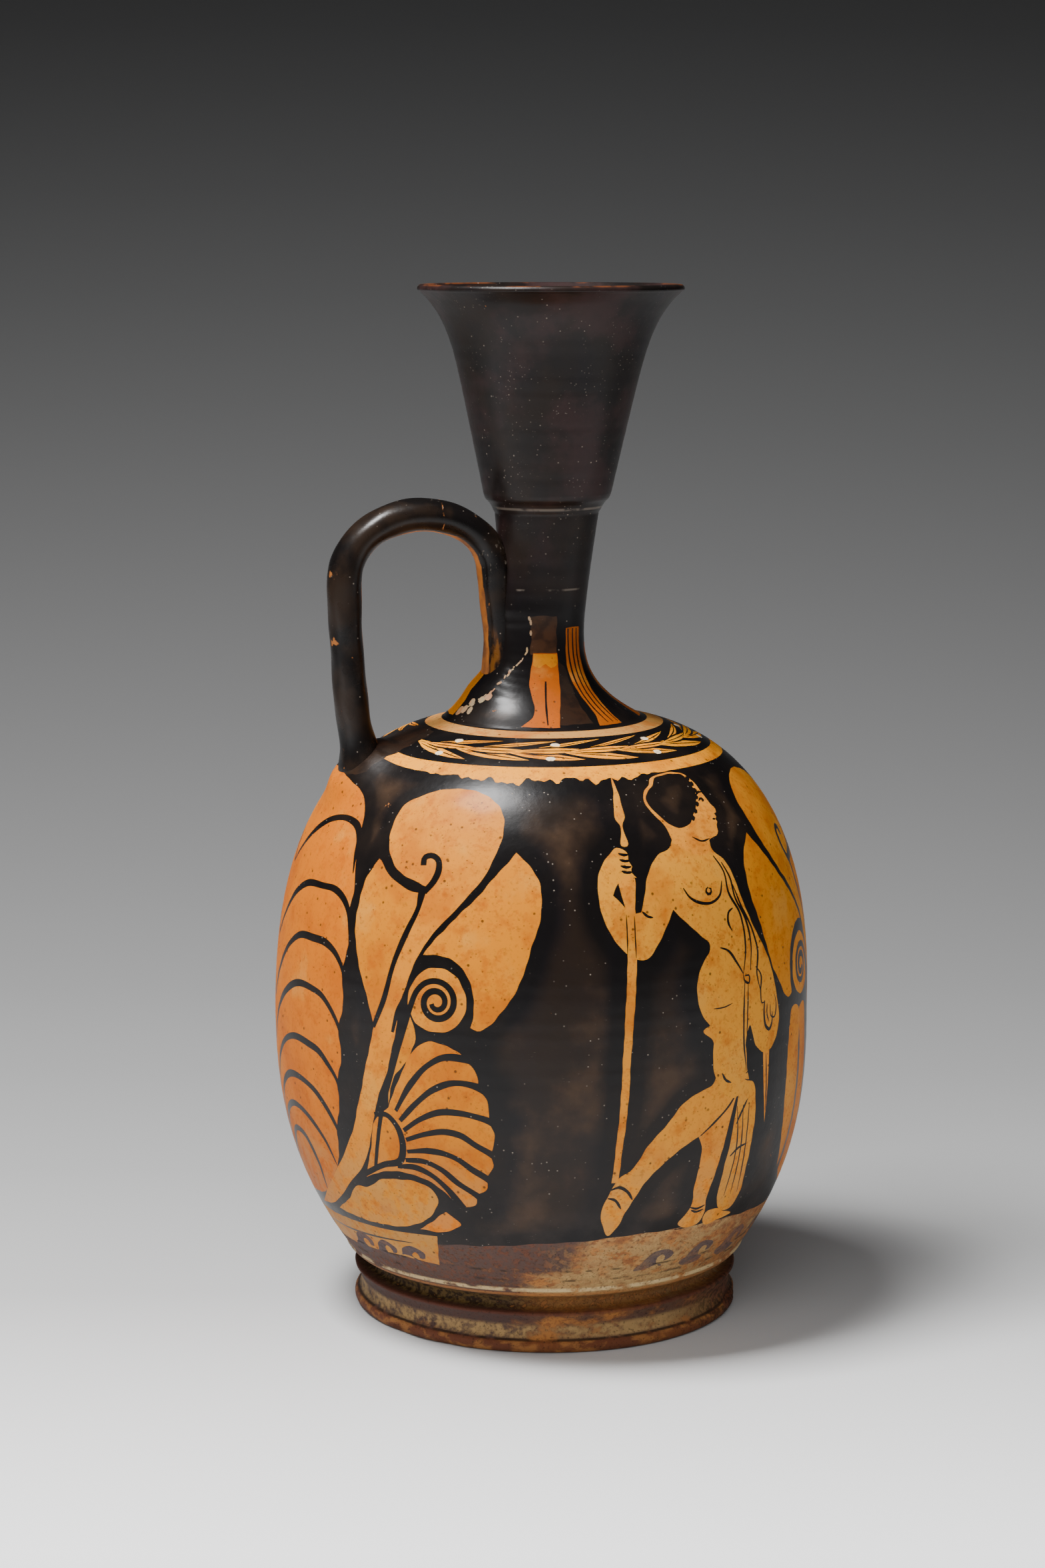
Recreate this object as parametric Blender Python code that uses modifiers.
"""A squat lekythos: an oil flask of fired clay, thrown and joined into one hollow piece.

It has a ring foot, a rounded body, a narrow neck, a trumpet mouth and one strap handle
that springs from the neck and lands on the shoulder.

Metres, +Z up. The origin is under the widest part of the body, on the surface that the
foot stands on. The handle is on the -X side.
"""

import math

import bpy

# Ring foot
FOOT_RADIUS = 0.0418
FOOT_HEIGHT = 0.0086
FOOT_BEAD_HEIGHT = 0.0022
FOOT_SIDE_DIP = 0.0014
FOOT_EDGE = 0.0010
STANDING_BEVEL = 0.0012
STANDING_WIDTH = 0.0040
UNDERSIDE_RECESS = 0.0065
RECESS_SLOPE = 0.0045

# Groove between the foot and the body
GROOVE_HEIGHT = 0.0036
GROOVE_DEPTH = 0.0030
GROOVE_LIP = 0.0006

# Body, from the moulding over the groove up to where the shoulder would close
BODY_FOOT_RADIUS = 0.0418
BELLY_RADIUS = 0.0577
BELLY_RISE = 0.0540
SHOULDER_RISE = 0.0635
LOWER_CURVE = 2.55
SHOULDER_CURVE = 2.4
SHOULDER_FULLNESS = 3.0

# Neck, from the painted ring at its foot up to the mouth
NECK_FOOT_RADIUS = 0.0215
NECK_WAIST_RADIUS = 0.0082
NECK_TOP_RADIUS = 0.0109
NECK_WAIST_RISE = 0.0200
NECK_UPPER_RISE = 0.0240

# Trumpet mouth
MOUTH_STEP = 0.0004
MOUTH_CHAMFER_RISE = 0.0038
MOUTH_FOOT_RADIUS = 0.0134
MOUTH_RISE = 0.0429
MOUTH_SPREAD = 0.0094
LIP_FLARE = 0.0052
LIP_FLARE_CURVE = 8.0
LIP_THICKNESS = 0.0010
LIP_ROUNDING = 0.0008

# Walls
BODY_WALL = 0.0040
SHOULDER_WALL = 0.0040
FLOOR_RISE = 0.0010
FLOOR_CORNER_RISE = 0.0060
FLOOR_CORNER_WIDTH = 0.0090
BORE_FLARE = 0.0020
NECK_WALL = 0.0027
MOUTH_WALL = 0.0031
LIP_WALL = 0.0024

# Strap handle
HANDLE_THICKNESS = 0.0069
HANDLE_WIDTH = 0.0095
HANDLE_INSET = 0.0178
HANDLE_BOW = 0.0045
HANDLE_LEAN = 0.0010
HANDLE_BEDDING = 0.0010
HANDLE_SPRING_RISE = 0.0310
HANDLE_LOOP_RISE = 0.0129
HANDLE_TAIL_RISE = 0.0035
HANDLE_ROOT_SPREAD = 1.45
HANDLE_ROOT_RISE = 0.0100
HANDLE_SINK = 0.0045

# How far the hand-made axis strays from the belly's own
FOOT_STRAY = 0.0011
MOUTH_STRAY = 0.0020

# How far the shape that cuts the hollow stands over the rim
CUTTER_OVERRUN = 0.0100

# Faceting
TURNED_STEPS = 56
LOOP_POINTS = 20
LEG_POINTS = 9
HANDLE_RESOLUTION = 2
MERGE_DISTANCE = 0.00001
SHARP_ANGLE = math.radians(40)

# Heights that follow from the sizes above
GROOVE_TOP = FOOT_HEIGHT + GROOVE_HEIGHT
BELLY_HEIGHT = GROOVE_TOP + BELLY_RISE


def body_radius(height):
    """Outer radius of the body at a height between the groove and the shoulder's apex."""
    if height <= BELLY_HEIGHT:
        below = (BELLY_HEIGHT - height) / BELLY_RISE
        return BELLY_RADIUS - (BELLY_RADIUS - BODY_FOOT_RADIUS) * below**LOWER_CURVE
    above = min((height - BELLY_HEIGHT) / SHOULDER_RISE, 1.0)
    return BELLY_RADIUS * (1.0 - above**SHOULDER_CURVE) ** (1.0 / SHOULDER_FULLNESS)


def shoulder_height(radius, belly=BELLY_RADIUS, rise=SHOULDER_RISE):
    """Height of the shoulder's surface at a distance from the axis."""
    share = min(radius / belly, 1.0)
    return BELLY_HEIGHT + rise * (1.0 - share**SHOULDER_FULLNESS) ** (1.0 / SHOULDER_CURVE)


NECK_FOOT = shoulder_height(NECK_FOOT_RADIUS)
NECK_WAIST = NECK_FOOT + NECK_WAIST_RISE
NECK_TOP = NECK_WAIST + NECK_UPPER_RISE
MOUTH_FOOT = NECK_TOP + MOUTH_CHAMFER_RISE
RIM_HEIGHT = MOUTH_FOOT + MOUTH_RISE + LIP_THICKNESS


def neck_radius(height):
    """Outer radius of the neck, which flares down to the shoulder and widens up to the mouth."""
    if height <= NECK_WAIST:
        below = min((NECK_WAIST - height) / NECK_WAIST_RISE, 1.0)
        return NECK_WAIST_RADIUS + (NECK_FOOT_RADIUS - NECK_WAIST_RADIUS) * below**3
    above = min((height - NECK_WAIST) / NECK_UPPER_RISE, 1.0)
    return NECK_WAIST_RADIUS + (NECK_TOP_RADIUS - NECK_WAIST_RADIUS) * above**1.25


def mouth_radius(share):
    """Outer radius of the mouth at a share of its rise: a straight cone that flares to the lip."""
    return MOUTH_FOOT_RADIUS + MOUTH_SPREAD * share + LIP_FLARE * share**LIP_FLARE_CURVE


def spaced(first, last, count):
    """Evenly spaced values from first to last, both included."""
    return [first + (last - first) * i / (count - 1) for i in range(count)]


def foot_profile():
    """Foot from its upper edge down its side, across the standing ring and into the recess."""
    waist = FOOT_RADIUS - FOOT_SIDE_DIP
    bead = FOOT_BEAD_HEIGHT
    ring_outer = FOOT_RADIUS - STANDING_BEVEL
    ring_inner = ring_outer - STANDING_WIDTH
    return [
        (FOOT_RADIUS - GROOVE_DEPTH, FOOT_HEIGHT + FOOT_EDGE / 2),
        (FOOT_RADIUS - FOOT_EDGE, FOOT_HEIGHT + FOOT_EDGE / 4),
        (FOOT_RADIUS - FOOT_EDGE / 2, FOOT_HEIGHT - FOOT_EDGE / 4),
        (waist, (FOOT_HEIGHT + bead) / 2 + FOOT_EDGE),
        (waist, bead + FOOT_EDGE),
        (FOOT_RADIUS - FOOT_EDGE / 2, bead + FOOT_EDGE / 5),
        (FOOT_RADIUS, bead - FOOT_EDGE / 2),
        (FOOT_RADIUS - STANDING_BEVEL / 6, STANDING_BEVEL / 2),
        (ring_outer, 0.0),
        (ring_inner, 0.0),
        (ring_inner - RECESS_SLOPE / 2, UNDERSIDE_RECESS * 0.8),
        (ring_inner - RECESS_SLOPE, UNDERSIDE_RECESS),
        (0.0, UNDERSIDE_RECESS),
    ]


def outer_profile():
    """The outside of the flask as (radius, height), from the axis at the rim down to the recess."""
    lip = mouth_radius(1.0)
    points = [
        (0.0, RIM_HEIGHT),
        (lip - LIP_ROUNDING, RIM_HEIGHT),
        (lip - LIP_ROUNDING / 8, RIM_HEIGHT - LIP_THICKNESS * 0.4),
    ]
    for share in (1.0 - step**1.6 for step in spaced(0.0, 1.0, 8)):
        points.append((mouth_radius(share), MOUTH_FOOT + MOUTH_RISE * share))
    points.append((NECK_TOP_RADIUS + MOUTH_STEP, NECK_TOP + MOUTH_STEP))
    for height in spaced(NECK_TOP, NECK_WAIST, 4):
        points.append((neck_radius(height), height))
    for height in spaced(NECK_WAIST, NECK_FOOT, 7)[1:]:
        points.append((neck_radius(height), height))
    for turn in spaced(0.0, math.pi / 2, 10)[1:]:
        above = math.cos(turn) ** 0.8 * (NECK_FOOT - BELLY_HEIGHT)
        points.append((body_radius(BELLY_HEIGHT + above), BELLY_HEIGHT + above))
    for height in spaced(BELLY_HEIGHT, GROOVE_TOP + GROOVE_LIP, 8)[1:]:
        points.append((body_radius(height), height))
    points += [
        (BODY_FOOT_RADIUS - GROOVE_LIP, GROOVE_TOP),
        (FOOT_RADIUS - GROOVE_DEPTH - GROOVE_LIP / 2, GROOVE_TOP - GROOVE_HEIGHT / 4),
    ]
    return points + foot_profile()


def cavity_profile():
    """The hollow as (radius, height), from over the rim down through the neck to the floor."""
    above_rim = RIM_HEIGHT + CUTTER_OVERRUN
    lip_inside = mouth_radius(1.0) - LIP_WALL
    points = [(0.0, above_rim), (lip_inside + LIP_ROUNDING * 2, above_rim)]
    points.append((lip_inside + LIP_ROUNDING / 2, RIM_HEIGHT))
    for share in (1.0 - step**1.5 for step in spaced(0.0, 1.0, 6)):
        wall = MOUTH_WALL + (LIP_WALL - MOUTH_WALL) * share
        points.append((mouth_radius(share) - wall, MOUTH_FOOT + MOUTH_RISE * share))
    for height in spaced(NECK_TOP, NECK_WAIST, 3):
        points.append((neck_radius(height) - NECK_WALL, height))
    bore = NECK_WAIST_RADIUS - NECK_WALL
    belly = BELLY_RADIUS - BODY_WALL
    rise = SHOULDER_RISE - SHOULDER_WALL
    underside = shoulder_height(bore + BORE_FLARE, belly, rise)
    points.append((bore, underside + BORE_FLARE))
    points.append((bore + BORE_FLARE, underside))
    for turn in spaced(0.0, math.pi / 2, 8)[1:]:
        above = math.cos(turn) ** 0.8 * (underside - BELLY_HEIGHT)
        share = above / rise
        radius = belly * (1.0 - share**SHOULDER_CURVE) ** (1.0 / SHOULDER_FULLNESS)
        points.append((radius, BELLY_HEIGHT + above))
    floor = GROOVE_TOP + FLOOR_RISE
    for height in spaced(BELLY_HEIGHT, floor + FLOOR_CORNER_RISE, 5)[1:]:
        points.append((body_radius(height) - BODY_WALL, height))
    edge = points[-1][0]
    points.append((edge - FLOOR_CORNER_WIDTH / 3, floor + FLOOR_CORNER_RISE / 3))
    points.append((edge - FLOOR_CORNER_WIDTH, floor))
    points.append((0.0, floor))
    return points


def between(first, last, first_pull, last_pull, count):
    """Points of a cubic curve between two ends, each with its own pull on the direction there."""
    points = []
    for t in spaced(0.0, 1.0, count):
        a, b = 2 * t**3 - 3 * t**2 + 1, t**3 - 2 * t**2 + t
        c, d = 3 * t**2 - 2 * t**3, t**3 - t**2
        points.append(
            tuple(
                a * first[i] + b * first_pull[i] + c * last[i] + d * last_pull[i]
                for i in range(2)
            )
        )
    return points


def handle_route():
    """Centreline of the handle as (distance from the axis, height, width share)."""
    landing = BELLY_RADIUS - HANDLE_INSET
    reach = landing + HANDLE_BOW
    spring = NECK_FOOT + HANDLE_SPRING_RISE
    neck_side = neck_radius(spring) + HANDLE_THICKNESS / 2 - HANDLE_BEDDING
    loop_half = (reach - neck_side) / 2
    tail_low = NECK_FOOT + HANDLE_TAIL_RISE
    tail = between(
        (NECK_WAIST_RADIUS, tail_low),
        (neck_side, spring),
        (0.0, spring - tail_low),
        (0.0, (spring - tail_low) * 0.6),
        LEG_POINTS,
    )
    loop = []
    for turn in spaced(math.pi, 0.0, LOOP_POINTS):
        loop.append(
            (
                neck_side + loop_half * (1 + math.cos(turn)),
                spring + HANDLE_LOOP_RISE * math.sin(turn),
            )
        )
    end = shoulder_height(landing) - HANDLE_SINK
    leg = between(
        (reach, spring),
        (landing, end),
        (0.0, end - spring),
        (-HANDLE_LEAN, (end - spring) * 0.5),
        LEG_POINTS + 3,
    )
    centre = tail + loop[1:] + leg[1:]
    route = []
    for distance, height in centre:
        on_leg = distance > (neck_side + reach) / 2
        over_root = (height - end - HANDLE_SINK) / HANDLE_ROOT_RISE
        near = max(0.0, 1.0 - over_root) if on_leg else 0.0
        share = 1.0 + (HANDLE_ROOT_SPREAD - 1.0) * min(near, 1.0) ** 2
        route.append((distance, height, share))
    return route


def stray(height):
    """Sideways shift of the axis at a height: none at the belly, most at the foot and the rim."""
    if height < BELLY_HEIGHT:
        return FOOT_STRAY * (BELLY_HEIGHT - height) / BELLY_HEIGHT
    return MOUTH_STRAY * (height - BELLY_HEIGHT) / (RIM_HEIGHT - BELLY_HEIGHT)


def clear_scene():
    """Empties the scene that the script starts in."""
    for obj in list(bpy.data.objects):
        bpy.data.objects.remove(obj)


def new_collection(name):
    """A collection in the scene."""
    collection = bpy.data.collections.new(name)
    bpy.context.scene.collection.children.link(collection)
    return collection


def turned(name, profile, collection):
    """An object whose profile at +X is turned round the axis."""
    mesh = bpy.data.meshes.new(name)
    edges = [(i, i + 1) for i in range(len(profile) - 1)]
    mesh.from_pydata([(radius, 0.0, height) for radius, height in profile], edges, [])
    obj = bpy.data.objects.new(name, mesh)
    collection.objects.link(obj)
    screw = obj.modifiers.new("turning", "SCREW")
    screw.steps = TURNED_STEPS
    screw.render_steps = TURNED_STEPS
    screw.use_merge_vertices = True
    screw.merge_threshold = MERGE_DISTANCE
    return obj


def evaluated_mesh(obj):
    """The object's mesh with its modifiers applied."""
    bpy.context.view_layer.update()
    graph = bpy.context.evaluated_depsgraph_get()
    return bpy.data.meshes.new_from_object(obj.evaluated_get(graph))


def handle_solid(collection):
    """The handle as a tube along its route, spread sideways into a strap, as a closed mesh."""
    curve = bpy.data.curves.new("handle_route", "CURVE")
    curve.dimensions = "3D"
    curve.bevel_depth = HANDLE_THICKNESS / 2
    curve.bevel_resolution = HANDLE_RESOLUTION
    curve.use_fill_caps = True
    route = handle_route()
    spline = curve.splines.new("POLY")
    spline.points.add(len(route) - 1)
    for point, (distance, height, share) in zip(spline.points, route):
        point.co = (-distance, 0.0, height, 1.0)
        point.radius = share
    tube = bpy.data.objects.new("handle_tube", curve)
    collection.objects.link(tube)
    mesh = evaluated_mesh(tube)
    bpy.data.objects.remove(tube)
    for vertex in mesh.vertices:
        vertex.co.y *= HANDLE_WIDTH / HANDLE_THICKNESS
    strap = bpy.data.objects.new("handle_strap", mesh)
    collection.objects.link(strap)
    weld = strap.modifiers.new("caps", "WELD")
    weld.merge_threshold = MERGE_DISTANCE
    return strap


def boolean(obj, operation, other):
    """Joins the other object to this one, or cuts it away."""
    modifier = obj.modifiers.new(operation.lower(), "BOOLEAN")
    modifier.operation = operation
    modifier.object = other


def hide(obj):
    """Marks an object as a helper that isn't part of the flask."""
    obj.hide_render = True
    obj.display_type = "WIRE"


def painted_clay():
    """The black gloss that covers most of the fired clay."""
    material = bpy.data.materials.new("black_gloss_on_clay")
    material.use_nodes = True
    shader = material.node_tree.nodes["Principled BSDF"]
    shader.inputs["Base Color"].default_value = (0.020, 0.015, 0.013, 1.0)
    shader.inputs["Roughness"].default_value = 0.32
    shader.inputs["Metallic"].default_value = 0.0
    return material


def build():
    """Models the flask and leaves it as the scene's one visible object."""
    clear_scene()
    helpers = new_collection("lekythos_helpers")
    parts = new_collection("squat_lekythos")
    shell = turned("outside", outer_profile(), helpers)
    strap = handle_solid(helpers)
    hollow = turned("hollow", cavity_profile(), helpers)
    boolean(shell, "UNION", strap)
    boolean(shell, "DIFFERENCE", hollow)
    flask = bpy.data.objects.new("lekythos", evaluated_mesh(shell))
    parts.objects.link(flask)
    for vertex in flask.data.vertices:
        vertex.co.x += stray(vertex.co.z)
    flask.data.materials.clear()
    flask.data.materials.append(painted_clay())
    flask.data.shade_smooth()
    flask.data.set_sharp_from_angle(angle=SHARP_ANGLE)
    for helper in (shell, strap, hollow):
        hide(helper)


build()
